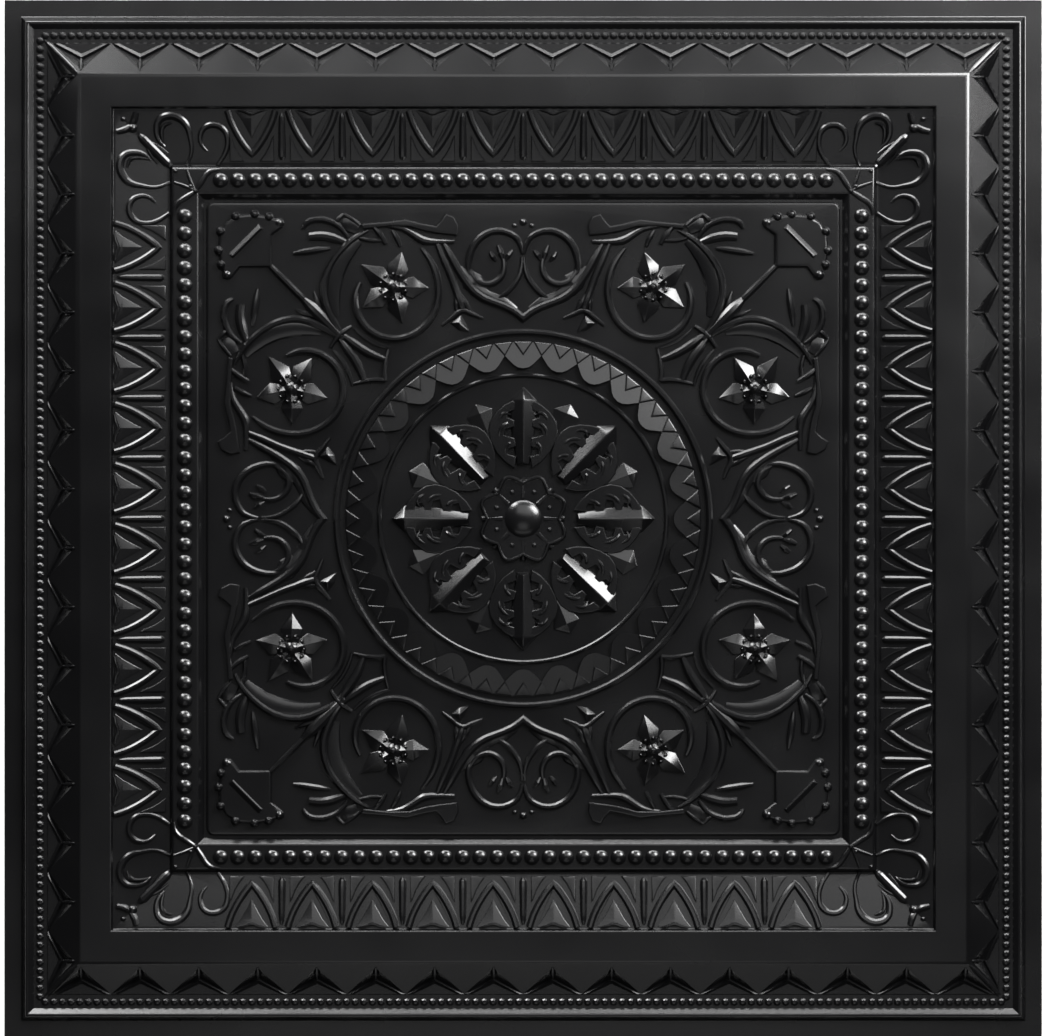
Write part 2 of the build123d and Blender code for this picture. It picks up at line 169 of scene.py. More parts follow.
def mouldedBlock(extra):
    # a slab whose top face is inset ring by ring, as the press tool steps in
    side = 2 * (half + extra) * mm
    bpy.ops.object.select_all(action="DESELECT")
    bpy.ops.mesh.primitive_cube_add(size=1, location=(0, 0, (gauge - mouldings["depth"] / 2) * mm))
    block = bpy.context.object
    block.scale = (side, side, mouldings["depth"] * mm)
    bpy.ops.object.transform_apply(location=True, rotation=True, scale=True)
    selectNothing(block, "FACE")
    for face in block.data.polygons:
        face.select = face.normal.z > 0.5
    bpy.ops.object.mode_set(mode="EDIT")
    for run, rise in mouldings["steps"]:
        bpy.ops.mesh.inset(thickness=(run + extra) * mm, depth=0)
        bpy.ops.transform.translate(value=(0, 0, rise * mm))
        extra = 0
    objectMode()
    return block


def drape(piece, level):
    # lifts a piece drawn on z = 0 to the mouldings under it, to a stated level, or by a function of the place
    for point in piece.data.vertices:
        place = (point.co.x / mm, point.co.y / mm)
        lift = levelAt(*place) if level is None else level(*place) if callable(level) else level
        point.co.z += lift * mm
    return piece


def ridge(points, widths, height, level=None, sharp=(), closed=False, smooth=3, facets=3):
    # half-round rib along a smooth line, with its width at each point
    bpy.ops.object.select_all(action="DESELECT")
    bpy.ops.curve.primitive_bezier_curve_add(location=(0, 0, 0))
    rib = bpy.context.object
    line = rib.data.splines[0]
    line.bezier_points.add(len(points) - 2)
    widest = max(widths)
    for i, (knot, (x, y)) in enumerate(zip(line.bezier_points, points)):
        knot.co = (x * mm, y * mm, 0)
        knot.handle_left_type = knot.handle_right_type = "VECTOR" if i in sharp else "AUTO"
        knot.radius = widths[i % len(widths)] / widest
    line.use_cyclic_u = closed
    rib.data.twist_mode = "Z_UP"
    rib.data.resolution_u = smooth
    rib.data.bevel_resolution = facets
    rib.data.bevel_depth = widest / 2 * mm
    rib.data.use_fill_caps = not closed
    bpy.ops.object.convert(target="MESH")
    rib = bpy.context.object
    editAll(rib)
    bpy.ops.mesh.remove_doubles(threshold=1e-6)
    bpy.ops.mesh.normals_make_consistent(inside=False)
    bpy.ops.transform.resize(value=(1, 1, height / (widest / 2)), center_override=(0, 0, 0))
    objectMode()
    return drape(rib, level)


def outlined(outline, low):
    # a face drawn by its corners, pulled up from a low level to z = 0, its upper face left selected
    bpy.ops.object.select_all(action="DESELECT")
    bpy.ops.mesh.primitive_circle_add(vertices=len(outline), fill_type="NGON")
    piece = bpy.context.object
    for point, (x, y) in zip(piece.data.vertices, outline):
        point.co = (x * mm, y * mm, low * mm)
    editAll(piece)
    bpy.ops.mesh.select_mode(type="FACE")
    bpy.ops.mesh.extrude_region_move(TRANSFORM_OT_translate={"value": (0, 0, -low * mm)})
    return piece


def faceOut(piece):
    editAll(piece)
    bpy.ops.mesh.normals_make_consistent(inside=False)
    objectMode()
    return piece


def plate(outline, rise, shoulder, level=None, low=-1.0):
    # raised flat with a rounded shoulder, inset in three steps
    piece = outlined(outline, low)
    bpy.ops.transform.translate(value=(0, 0, max(rise - shoulder, 0) * mm))
    for run, climb in ((0.134, 0.5), (0.366, 0.366), (0.5, 0.134)):
        bpy.ops.mesh.inset(thickness=run * shoulder * mm, depth=0)
        bpy.ops.transform.translate(value=(0, 0, climb * min(rise, shoulder) * mm))
    objectMode()
    return drape(faceOut(piece), level)


def roofed(outline, crest, level=None, softness=0.5, low=-1.0, eave=0):
    # each corner of the raised outline is slid to its own crest point (x, y, rise), over an upright wall up to the eave
    piece = outlined(outline, low)
    if eave:
        bpy.ops.transform.translate(value=(0, 0, eave * mm))
        bpy.ops.mesh.extrude_region_move(TRANSFORM_OT_translate={"value": (0, 0, mm)})
    objectMode()
    summit = max(point.co.z for point in piece.data.vertices)
    for point in piece.data.vertices:
        if point.co.z > summit - 1e-7:
            place = (point.co.x / mm, point.co.y / mm)
            corner = min(range(len(outline)), key=lambda i: math.dist(outline[i], place))
            point.co = [value * mm for value in crest[corner]]
    editAll(piece)
    bpy.ops.mesh.remove_doubles(threshold=1e-6)
    objectMode()
    faceOut(piece)
    if softness:
        soft = piece.modifiers.new("soft", "BEVEL")
        soft.width = softness * mm
        soft.segments = 2
        soft.angle_limit = math.radians(14)
        bpy.ops.object.modifier_apply(modifier="soft")
    return drape(piece, level)


def bead(centre, radius, height, level=None, around=12, up=8):
    # a ball pressed to its height
    bpy.ops.object.select_all(action="DESELECT")
    bpy.ops.mesh.primitive_uv_sphere_add(segments=around, ring_count=up, radius=radius * mm)
    ball = bpy.context.object
    editAll(ball)
    bpy.ops.transform.resize(value=(1, 1, height / radius), center_override=(0, 0, 0))
    lift = levelAt(*centre) if level is None else level
    bpy.ops.transform.translate(value=(centre[0] * mm, centre[1] * mm, lift * mm))
    objectMode()
    return ball


print("tools and section ready")

# saw-tooth slope: three-sided notches with level floors and leaning walls
saw = {"count": 16, "corner": 2.6, "depth": 9.4, "tipGap": 3.5, "floor": 3.0, "tall": 7.5, "rounding": 0.7}
sawPitch = 2 * (sawFoot - saw["corner"]) / saw["count"]


def carveNotches(block):
    floorTip = sawFoot - saw["depth"]
    edgeTip = frameOuter + saw["tipGap"]
    edgeRise = (sawFoot - edgeTip) / (sawFoot - frameOuter) * (rings[7][1] - rings[6][1])
    grow = 1 + (floorTip - edgeTip) / edgeRise * saw["tall"] / saw["depth"]
    outline = [(0, sawFoot), (sawPitch, sawFoot), (sawPitch / 2, floorTip)]
    notch = outlined(outline, -saw["tall"])
    bpy.ops.transform.resize(value=(grow, grow, 1), center_override=(sawPitch / 2 * mm, sawFoot * mm, 0))
    bpy.ops.mesh.select_all(action="SELECT")
    bpy.ops.transform.translate(value=(0, 0, (gauge + saw["floor"] + saw["tall"]) * mm))
    objectMode()
    faceOut(notch)
    second = repeated(duplicate(notch), [(2 * i * sawPitch, 0) for i in range(1, saw["count"] // 4)])
    for point in second.data.vertices:
        point.co.x += sawPitch * mm
    first = repeated(notch, [(2 * i * sawPitch, 0) for i in range(1, saw["count"] // 4)])
    for cutter in (first, second):  # neighbours overlap above the slope, so they are cut in two sets
        combine(block, cutter, "DIFFERENCE")


sheet = mouldedBlock(0)
carveNotches(sheet)
for number, width in mouldings["rounding"].items():
    reach, rise = rings[number]
    roundEdges(sheet, lambda co: abs(max(abs(co.x), abs(co.y)) - reach) < 0.02 and abs(co.z - gauge - rise) < 0.02, width, 3)
hollow = mouldedBlock(2)
carveNotches(hollow)
for point in hollow.data.vertices:
    point.co.z -= gauge * mm
print("mouldings and notches done", len(sheet.data.polygons))

# inner panel with rounded corners
panel = {"corner": 4.6, "shoulder": 2.0}
edge = rings[14][0] - 1.2
outline = []
for quarter in range(4):
    turn = 90 * quarter + 45
    cx, cy = turned([(0, (edge - panel["corner"]) * math.sqrt(2))], turn)[0]
    for step in range(5):
        x, y = polar(panel["corner"], turn - 45 + 22.5 * step)
        outline.append((cx + x, cy + y))
combine(sheet, plate(outline, 2.0, panel["shoulder"], gauge + 0.5), "UNION")
combine(hollow, plate(outline, 2.0, panel["shoulder"], gauge + 0.5 - gauge), "UNION")

# mitre of the saw slope, rounded over
combine(sheet, ridge([(278, 278), (275, 275), (262, 262), (258.6, 258.6)], [1.5, 3, 3, 1.4], 0.8), "UNION")

# roof-shaped strips along the foot of each notch's leaning walls: half of one, from the notch's axis
sawStrip = {"outline": [(17.2, 275.8), (-0.05, 266), (-0.05, 270), (12.4, 275.8)], "crest": [(15, 275.7), (-0.05, 267.8)], "rise": 1.2}
for side in (-1, 1):
    outline = [(sawPitch / 2 + side * x, y) for x, y in sawStrip["outline"]]
    high = [(sawPitch / 2 + side * x, y, sawStrip["rise"]) for x, y in sawStrip["crest"]]
    strip = roofed(outline, high + high[::-1], gauge + saw["floor"], 0, -0.05)
    combine(sheet, repeated(strip, [(i * sawPitch, 0) for i in range(1, 8)]), "UNION")
tip = ridge([(sawPitch / 2, 267), (sawPitch / 2, 264), (sawPitch / 2, 260)], [1.2, 2, 1.4], 1.0, smooth=1, facets=1)
combine(sheet, repeated(tip, [(i * sawPitch, 0) for i in range(1, 8)]), "UNION")

# chain of small beads in the outer channel, and the large beads of the inner moulding
smallBeads = {"row": 280.5, "pitch": 5.0, "radius": 2.4, "height": 1.8}
count = int(smallBeads["row"] / smallBeads["pitch"])
first = bead((smallBeads["pitch"] / 2, smallBeads["row"]), smallBeads["radius"], smallBeads["height"], None, 8, 6)
combine(sheet, repeated(first, [(i * smallBeads["pitch"], 0) for i in range(1, count)]), "UNION")
largeBeads = {"row": 196.5, "pitch": 10.04, "count": 18, "radius": 4.5, "height": 2.7}
first = bead((largeBeads["pitch"] / 2, largeBeads["row"]), largeBeads["radius"], largeBeads["height"], None, 16)
offsets = [(i * largeBeads["pitch"], 0) for i in range(1, largeBeads["count"])]
combine(sheet, repeated(first, offsets), "UNION")
print("beads done", len(sheet.data.polygons))

# egg-and-dart band: offsets from each V's axis and distances from the tile's centre
eggs = {
    "pitch": 35.0, "count": 5,
    "leg": [(13.8, 236.4), (11.9, 230.5), (9.5, 225.3), (6.3, 219.8), (3.2, 215.4), (0, 211.6)],
    "legWidth": 4.2, "legHeight": 2.2,
    "tongue": [(-9.8, 236.6), (-6.2, 232), (-2.8, 226), (0, 220.6), (2.8, 226), (6.2, 232), (9.8, 236.6)],
    "tongueCrest": [(0, 236.4, 0.9), (0, 222.2, 0.8)],
    "lip": [(-8, 236.6), (-4, 235.9), (0, 234.6), (4, 235.9), (8, 236.6)],
    "dart": [(0, 208.4), (0, 210), (0, 214), (0, 222), (0, 230), (0, 233), (0, 235)],
    "dartWidths": [2, 4.4, 4.6, 4.2, 3.8, 3, 1.6],
    "leaf": [(4.6, 207.4), (13.2, 207.4), (10.2, 211.3), (7.8, 215.5), (5.9, 220.5), (4.6, 222.4)],
}


def besideVee(piece):
    # the five of them along one side, as one mesh
    return repeated(piece, [(i * eggs["pitch"], 0) for i in range(1, eggs["count"])])


def at(points, x):
    return [(x + dx, y) for dx, y in points]


axis = eggs["pitch"] / 2
legs = [(-x, y) for x, y in eggs["leg"]] + eggs["leg"][-2::-1]
crest = []
for x, y in eggs["tongue"]:
    cx, cy, rise = eggs["tongueCrest"][y < 224]
    crest.append((axis + cx, cy if y < 224 or y > 236 else y, rise))
combine(sheet, besideVee(roofed(at(eggs["tongue"], axis), crest, None, 0.4, eave=0.3)), "UNION")
combine(sheet, besideVee(ridge(at(eggs["lip"], axis), [1, 2, 2.4, 2, 1], 2.0)), "UNION")
vee = ridge(at(legs, axis), [eggs["legWidth"]] * 11, eggs["legHeight"], None, (5,), smooth=2)
combine(sheet, besideVee(vee), "UNION")
for side in (-1, 1):
    leaf = [(side * x, y) for x, y in eggs["leaf"]][::side]
    start = 0 if side > 0 else eggs["pitch"]
    combine(sheet, besideVee(plate(at(leaf, start), 1.6, 0.7)), "UNION")
dart = ridge(eggs["dart"], eggs["dartWidths"], 2.5)
combine(sheet, repeated(dart, [(i * eggs["pitch"], 0) for i in range(1, eggs["count"])]), "UNION")
print("band done", len(sheet.data.polygons))

# corner of the band: two curls, the bar on the diagonal and its three-lobed head
bandCorner = {
    "ribs": [
        ([(195.5, 205), (192.5, 213), (193.2, 221), (195, 228), (200, 232.6), (206, 233.6), (211, 231), (212.6, 226),
          (211.5, 220), (208, 216)], [2, 2.4, 3, 4.4, 4.8, 4.8, 4.4, 4, 3.2, 1.6], 2.2),
        ([(204, 229.5), (208.5, 227.5), (209.5, 222), (208.5, 217.5)], [1.4, 2.6, 2.2, 1.2], 2.4),
        ([(177.5, 205.5), (172.7, 213), (171.5, 220), (173.5, 225.6), (179, 228.4), (184.5, 227), (187.2, 222.5),
          (186.8, 217.5), (183.5, 213.5)], [2.4, 3.2, 3.4, 3.8, 3.8, 3.6, 3.2, 2.6, 1.4], 1.9),
        ([(204.5, 204.5), (207, 207), (220.5, 220.5), (222.5, 222.5)], [3, 5.4, 5.4, 3], 2.6),
        ([(227.6, 227.6), (225.6, 231), (224.3, 235.4)], [3.4, 4.4, 3.6], 2.2),
        ([(227.6, 227.6), (231, 225.6), (235.4, 224.3)], [3.4, 4.4, 3.6], 2.2),
        ([(206, 212), (213, 217), (222, 219.5), (234, 220.5)], [1.4, 2.2, 2.2, 1.4], 1.3),
    ],
    "knobs": [(226.6, 226.6, 3.0, 2.8), (231.8, 231.8, 1.6, 1.8)],
}
for points, widths, height in bandCorner["ribs"]:
    combine(sheet, ridge(points, widths, height), "UNION")
for x, y, radius, height in bandCorner["knobs"]:
    combine(sheet, bead((x, y), radius, height), "UNION")

# crossed ribs and studs on the corner of the bead moulding
mouldingCorner = {
    "ribs": [
        ([(176, 202.8), (182, 201.5), (187, 195), (189.8, 190.6)], [1.6, 3.2, 3.6, 2.6], 1.5),
        ([(190.6, 190.6), (193, 196), (195.3, 202.6)], [1.6, 2.2, 1.6], 1.1),
        ([(190.6, 190.6), (196, 193), (202.6, 195.3)], [1.6, 2.2, 1.6], 1.1),
    ],
    "knobs": [(190.2, 190.2, 1.6, 2.2), (193, 193, 1.3, 1.4), (201.9, 201.9, 1.3, 1.3)],
}
for points, widths, height in mouldingCorner["ribs"]:
    combine(sheet, ridge(points, widths, height, mouldingLevel), "UNION")
for x, y, radius, height in mouldingCorner["knobs"]:
    combine(sheet, bead((x, y), radius, height, mouldingLevel), "UNION")
print("corners done", len(sheet.data.polygons))

# scrollwork of the panel, in the eighth between +Y and the diagonal: centre lines, widths and heights in mm
scrolls = {
    "wider": 1.22, "higher": 1.3,
    "ribs": [
        ([(22, 133), (28, 137.5), (34, 145)], [5, 9, 3], 1.5),
        ([(15, 128.5), (24, 131), (31, 137), (37, 146)], [3, 7, 8, 3], 1.5),
        ([(4, 121.5), (12, 126), (18, 128.5)], [3, 6, 4], 1.3),
        ([(0.3, 154), (3, 162), (8, 165.8), (15, 167.3), (22, 165.3), (27.5, 160.5), (31, 153), (31.8, 145), (30.5, 141)],
         [2, 3, 3.4, 3.6, 3.8, 3.8, 3.6, 3, 1.6], 2.1),
        ([(31, 144.5), (28.3, 140), (25, 137.2), (20, 136.2), (15.5, 138), (12, 142), (11, 147), (11.5, 151)],
         [2, 2.8, 3.2, 3.4, 3.4, 3.2, 2.8, 2], 2.0),
        ([(10, 150), (8.5, 153), (6.2, 155.8)], [1.4, 2.8, 1.6], 1.9),
        ([(12, 150.5), (13, 154.5), (14.6, 158.8)], [1.6, 3.4, 1.8], 2.2),
        ([(15.5, 149.5), (17.6, 152), (19.3, 154.8)], [1.4, 2.8, 1.6], 1.9),
        ([(0.6, 152), (1, 146), (2.6, 140.5), (6, 135.3), (10, 131), (14.5, 128)], [1.6, 2.2, 2.8, 3, 2.8, 1.6], 1.9),
        ([(-2, 114.5), (0.6, 117), (7, 121.5), (15, 124.9), (22, 127.6), (28.3, 132), (33.5, 138.2), (38.5, 146), (42.3, 153),
          (46, 159.5)], [3.4, 4, 4, 4, 4.2, 4.4, 4.2, 4, 3.6, 2], 2.5),
        ([(50, 159.5), (46, 150), (42, 141), (39, 132.5), (36.5, 125.5), (35, 120.5)], [2.4, 3.6, 3.6, 3.6, 4.4, 3], 2.3),
        ([(36.5, 130), (33.5, 125), (31, 120.5)], [2, 3, 2], 1.7),
        ([(38.5, 130), (38.8, 125), (38.5, 120)], [2, 3, 2], 1.7),
        ([(23.5, 116.4), (30, 119), (35.3, 121), (41, 117), (47, 112.3)], [1.6, 2.6, 3, 2.6, 1.6], 1.8),
        ([(40, 161), (50, 160.8), (57.5, 161.5), (63, 164.6), (70, 168.6), (79, 170)], [2.4, 3, 4.4, 3.8, 3.2, 2], 2.1),
        ([(71.3, 158), (73.4, 163), (76, 167.5)], [1.8, 2.8, 2], 1.9),
        ([(79.8, 159.5), (83, 165), (87.5, 170.5)], [2.2, 3.2, 2.2], 2.1),
        ([(81, 161.8), (88, 161.5), (95, 163)], [1.8, 2.4, 2], 1.6),
        ([(96, 168), (101, 171), (105, 172)], [6, 8, 5], 1.2),
        ([(94.5, 169.6), (99.5, 174), (104.2, 177)], [1.4, 2.4, 1.6], 1.9),
        ([(104.2, 177), (107.5, 174), (110, 171.5)], [1.6, 2.4, 1.6], 1.9),
        ([(102, 163.5), (106.5, 169.5), (113, 173), (120, 173.8), (125.5, 172), (127.8, 168.5)], [1.8, 3, 3.4, 3.4, 3.2, 2], 2.1),
        ([(103, 160.5), (110, 163), (117, 164.3), (124.2, 163.8)], [3, 5, 5, 4.4], 2.0),
        ([(112, 157), (119, 156.2), (127, 155), (133.5, 154)], [1.8, 3.6, 3.6, 1.8], 2.0),
        ([(95, 161.5), (102, 155.5), (107.5, 147.5), (110.5, 138), (111, 128), (108.5, 117.5)], [4, 8, 9.5, 9.5, 8, 4], 1.7),
        ([(90, 167.5), (97, 163.6), (104, 157.5), (110.5, 149.5), (115, 139.5), (115.8, 129.5), (113, 120), (109.5, 113),
          (105.5, 107.5)], [1.6, 3, 3.6, 3.8, 4, 4, 4, 3.6, 2], 2.9),
        ([(117.3, 120.5), (119.3, 126.5), (121.3, 132)], [2.6, 2.8, 1.4], 2.0),
        ([(99.5, 111.8), (105, 108.2), (108.2, 105), (111.8, 99.5)], [1.8, 2.8, 2.8, 1.8], 2.4),
        ([(104.5, 106.5), (98, 101.7), (89.5, 96.2), (80.5, 92.6)], [2.8, 4.6, 4.4, 3], 2.6),
        ([(110, 99.5), (104, 105.5)], [2.6, 2.8], 2.3),
        ([(77.2, 99), (85, 101.5), (92.5, 105.6), (98, 110.5)], [1.4, 2.2, 2.2, 1.4], 1.5),
        ([(78.2, 98.5), (80, 91), (80.6, 84.5), (80.2, 80.2)], [1.6, 2.4, 2.6, 2.6], 2.1),
    ],
    "onDiagonal": [
        ([(146.5, 146.5), (140, 140), (131, 131), (127.8, 127.8)], [3, 3.4, 3.6, 3.4], 2.6),
        ([(127.5, 127.5), (122.5, 122.5), (117, 117), (110, 110), (105.5, 105.5)], [3.2, 6.4, 6.8, 5.2, 3.4], 3.2),
    ],
    "studs": [(0, 172.3, 2.2, 2.0), (5, 170.3, 1.5, 1.5), (0, 149, 1.6, 1.4)],
}
for points, widths, height in scrolls["ribs"] + scrolls["onDiagonal"]:
    widths = [scrolls["wider"] * width for width in widths]
    combine(sheet, ridge(points, widths, scrolls["higher"] * height, fieldLevel, smooth=2), "UNION")
for x, y, radius, height in scrolls["studs"]:
    combine(sheet, bead((x, y), radius, height, fieldLevel), "UNION")
boneLeaf = [(38.4, 164.4), (49, 165.6), (57, 167), (66, 169.6), (78, 169.8), (93, 168.2), (94, 171.3), (78, 172.6), (68, 173.8),
            (58, 171.4), (50.6, 170), (47.5, 173.4), (45, 177.2), (40, 175.4), (37.4, 170)]
combine(sheet, plate(boneLeaf[::-1], 2.5, 1.1, fieldLevel), "UNION")
arrowTip = [(31, 108.3), (36.2, 118.8), (42.3, 113.5), (37, 109.4)]
peak = (37, 113.6, 3.2)
combine(sheet, roofed(arrowTip, [peak] * 4, fieldLevel, eave=0.8), "UNION")
print("scrolls done", len(sheet.data.polygons))

# flower: five roof-shaped petals, a ring of beads and a middle one
flower = {
    "centre": (75.4, 134.5), "tips": [(54.5, 134), (70.4, 155), (94.3, 147.8), (93.6, 122.4), (70, 113.4)],
    "waist": (11.5, 6.4),  # along and across a petal, in mm
    "crestRise": (4.2, 2.8), "ringRadius": 7.6, "ringBeads": 10,
}
fx, fy = flower["centre"]
for tx, ty in flower["tips"]:
    length = math.dist((fx, fy), (tx, ty))
    ux, uy = (tx - fx) / length, (ty - fy) / length
    waist, spread = flower["waist"]
    petal = [(0.5, -1.5), (waist - 4, 1.4 - spread), (waist, -spread), (length, 0)]
    petal += [(along, -across) for along, across in petal[-2::-1]]
    crest = [min(max(along, 4), length - 1.6) for along, across in petal]
    steep = (flower["crestRise"][1] - flower["crestRise"][0]) / (length - 5.6)
    crest = [(fx + ux * along, fy + uy * along, flower["crestRise"][0] + steep * (along - 4)) for along in crest]
    outline = [(fx + ux * along - uy * across, fy + uy * along + ux * across) for along, across in petal]
    combine(sheet, roofed(outline, crest, fieldLevel, 0.3, eave=1.3), "UNION")
combine(sheet, bead(flower["centre"], 5.4, 4.6, fieldLevel, 16), "UNION")
combine(sheet, bead(flower["centre"], 3.2, 6.0, fieldLevel, 12, 10), "UNION")
for k in range(flower["ringBeads"]):
    x, y = polar(flower["ringRadius"], 360 / flower["ringBeads"] * k)
    combine(sheet, bead((fx + x, fy + y), 1.5, 5.0, fieldLevel, 8, 8), "UNION")

# volute round the flower, opening at its end
volute = {"centre": (76, 126.5), "radius": 21.5, "growth": 13.4, "start": 60, "sweep": 271, "width": 4.6, "height": 3.2}
points = []
for k in range(19):
    share = k / 18
    x, y = polar(volute["radius"] + volute["growth"] * share ** 4, volute["start"] + volute["sweep"] * share)
    points.append((volute["centre"][0] + x, volute["centre"][1] + y))
widths = [2.8, 3.8] + [volute["width"]] * 15 + [3.8, 2.2]
combine(sheet, ridge(points, widths, volute["height"], fieldLevel, smooth=2), "UNION")
print("flower done", len(sheet.data.polygons))

# fan in the panel's corner: a plate with a roof-shaped bar across it and beads on its edge
fan = {
    "plate": [(145.8, 145.8), (145.8, 164.5), (139.4, 169.4), (140.2, 173.6), (148, 176), (157, 177.4), (165.5, 176.6)],
    "beads": [(141.8, 171.8, 3.2, 3.4), (147.6, 175.2, 3, 4.6), (155.8, 176.6, 3, 4.6), (166.8, 175.4, 3, 4.6)],
    "bar": [(151, 168.4), (153.6, 171), (171, 153.6), (168.4, 151)],
    "barCrest": [(152.2, 168.2, 4.1), (152.6, 168.6, 4.1), (168.6, 152.6, 4.1), (168.2, 152.2, 4.1)],
}
outline = fan["plate"] + [(172.4, 172.4)] + mirrored(fan["plate"])[::-1][:-1]
combine(sheet, plate(outline, 2.6, 2.2, fieldLevel), "UNION")
combine(sheet, roofed(fan["bar"], fan["barCrest"], fieldLevel, 0.2, eave=2.7), "UNION")
for x, y, radius, height in fan["beads"]:
    combine(sheet, bead((x, y), radius, height, fieldLevel), "UNION")
print("fan done", len(sheet.data.polygons))

# medallion: two rings and the scalloped belt between them
medallion = {
    "rings": [(108.3, 4.2, 2.9), (83.3, 2.9, 1.7)], "scallops": 28,
    # half of one scale and of one tooth, across and along a ray, in mm
    "scale": [(0, 87.3), (3.2, 87.9), (5.8, 89.7), (10.8, 94.8), (11.7, 102.3), (0, 103)],
    "tooth": [(0, 94.8), (5.8, 103.2)],
    "inner": 3.9, "outer": 0.5,  # rise of a scale's two ends
}
for radius, width, height in medallion["rings"]:
    points = [polar(radius, angle) for angle in range(-10, 61, 5)]
    combine(sheet, ridge(points, [width], height, fieldLevel, smooth=3), "UNION")
pitch = 360 / medallion["scallops"]
fall = (medallion["inner"] - medallion["outer"]) / (medallion["scale"][-1][1] - medallion["scale"][0][1])


def beltLevel(angle):
    # level of the belt's sloping face, square to the ray at an angle
    ux, uy = polar(1, angle)
    return lambda x, y: fieldLevel + medallion["inner"] - fall * (x * ux + y * uy - medallion["scale"][0][1])


for k in range(5):
    scale = [(-x, y) for x, y in medallion["scale"][::-1]] + medallion["scale"][1:-1]
    piece = plate(turned(scale, k * pitch), 0.0, 0.6, beltLevel(k * pitch), -2.5)
    combine(sheet, piece, "UNION")
for k in range(9):
    tooth = [(-x, y) for x, y in medallion["tooth"]] + medallion["tooth"][:0:-1]
    combine(sheet, plate(turned(tooth, k * pitch / 2), 1.5, 1.2, beltLevel(k * pitch / 2), -0.8), "UNION")
print("medallion done", len(sheet.data.polygons))

# rosette: round leaves with lobes, eight roof-shaped petals, thorns between them
rosette = {
    "rim": [(5, 29.4), (10.5, 33), (15.6, 38.6), (19, 45), (20.2, 51), (19.2, 56.5), (15.6, 62), (10.5, 66.4), (6, 68.8)],
    # edge of the leaf beside the petal, with its three eyes
    "cut": [(4.5, 67.4), (5, 63), (8.6, 61.8), (9, 58.8), (5, 57.2), (5, 53.4), (10.2, 52), (11, 48.6), (5, 46.8), (4, 42),
            (8.4, 40.6), (8.8, 37.6), (4, 36)],
    "lobes": [
        ([(10.2, 35.6), (10.4, 40.2), (8.2, 43.8), (6.4, 44.8)], [1.4, 2.6, 2.8, 1.6]),
        ([(13.4, 44), (13.6, 50.4), (11, 54.6), (7.6, 56.4)], [1.6, 2.8, 3, 1.8]),
        ([(15.2, 54.8), (12.6, 60), (10.2, 61.4), (7.4, 60.2)], [1.6, 2.8, 2.8, 1.8]),
    ],
    "petal": [(-3.8, 31), (-6.4, 48), (-7.9, 62), (-8, 68.8), (0, 76.8), (8, 68.8), (7.9, 62), (6.4, 48), (3.8, 31)],
    "crestEnds": (32.4, 74.8), "petalRise": 4.7,
    "thorn": [(-1.6, 50), (-7.9, 66.2), (0, 72), (7.9, 66.2), (1.6, 50)],
    "thornCrest": [(0, 54, 1.8), (0, 66, 2.6), (0, 70, 2.2), (0, 66, 2.6), (0, 54, 1.8)],
}
for angle in (0, 45):
    for side in (-1, 1):
        leaf = [(side * x, y) for x, y in rosette["rim"] + rosette["cut"]]
        combine(sheet, plate(turned(leaf, angle), 2.4, 0.8, fieldLevel), "UNION")
        for line, widths in rosette["lobes"]:
            lobe = ridge(turned([(side * x, y) for x, y in line], angle), widths, 3.5, fieldLevel)
            combine(sheet, lobe, "UNION")
    low, high = rosette["crestEnds"]
    crest = [turned([(0, min(max(y, low), high))], angle)[0] + (rosette["petalRise"],) for x, y in rosette["petal"]]
    combine(sheet, roofed(turned(rosette["petal"], angle), crest, fieldLevel, 0.9, eave=0.9), "UNION")
crest = [turned([(x, y)], 22.5)[0] + (rise,) for x, y, rise in rosette["thornCrest"]]
combine(sheet, roofed(turned(rosette["thorn"], 22.5), crest, fieldLevel, 0.3, eave=0.8), "UNION")
print("rosette done", len(sheet.data.polygons))

# blossom and dome in the middle
blossom = {"tip": 25.6, "shoulder": 24.4, "valley": 20.6, "rise": 2.3, "rimWidth": 2.6, "rimHeight": 3.7, "beads": 16.6}
star = []
for k in range(8):
    star.append(polar(blossom["valley"], 45 * k))
    star += [polar(blossom["shoulder"], 45 * k + 15), polar(blossom["tip"], 45 * k + 22.5), polar(blossom["shoulder"], 45 * k + 30)]
combine(sheet, plate(star, blossom["rise"], 1.0, fieldLevel), "UNION")
rim = ridge(star, [blossom["rimWidth"]], blossom["rimHeight"], fieldLevel, tuple(range(0, 32, 4)), closed=True, smooth=2)
combine(sheet, rim, "UNION")
for angle in (0, 45):
    vein = ridge([polar(12, angle), polar(24, angle)], [5, 3.6], 3.0, fieldLevel)
    combine(sheet, vein, "UNION")
x, y = polar(blossom["beads"], 22.5)
combine(sheet, bead((x, y), 1.9, 3.4, fieldLevel), "UNION")
combine(sheet, bead((0, 0), 12.0, 5.4, fieldLevel, 40, 18), "UNION")
print("blossom done", len(sheet.data.polygons))

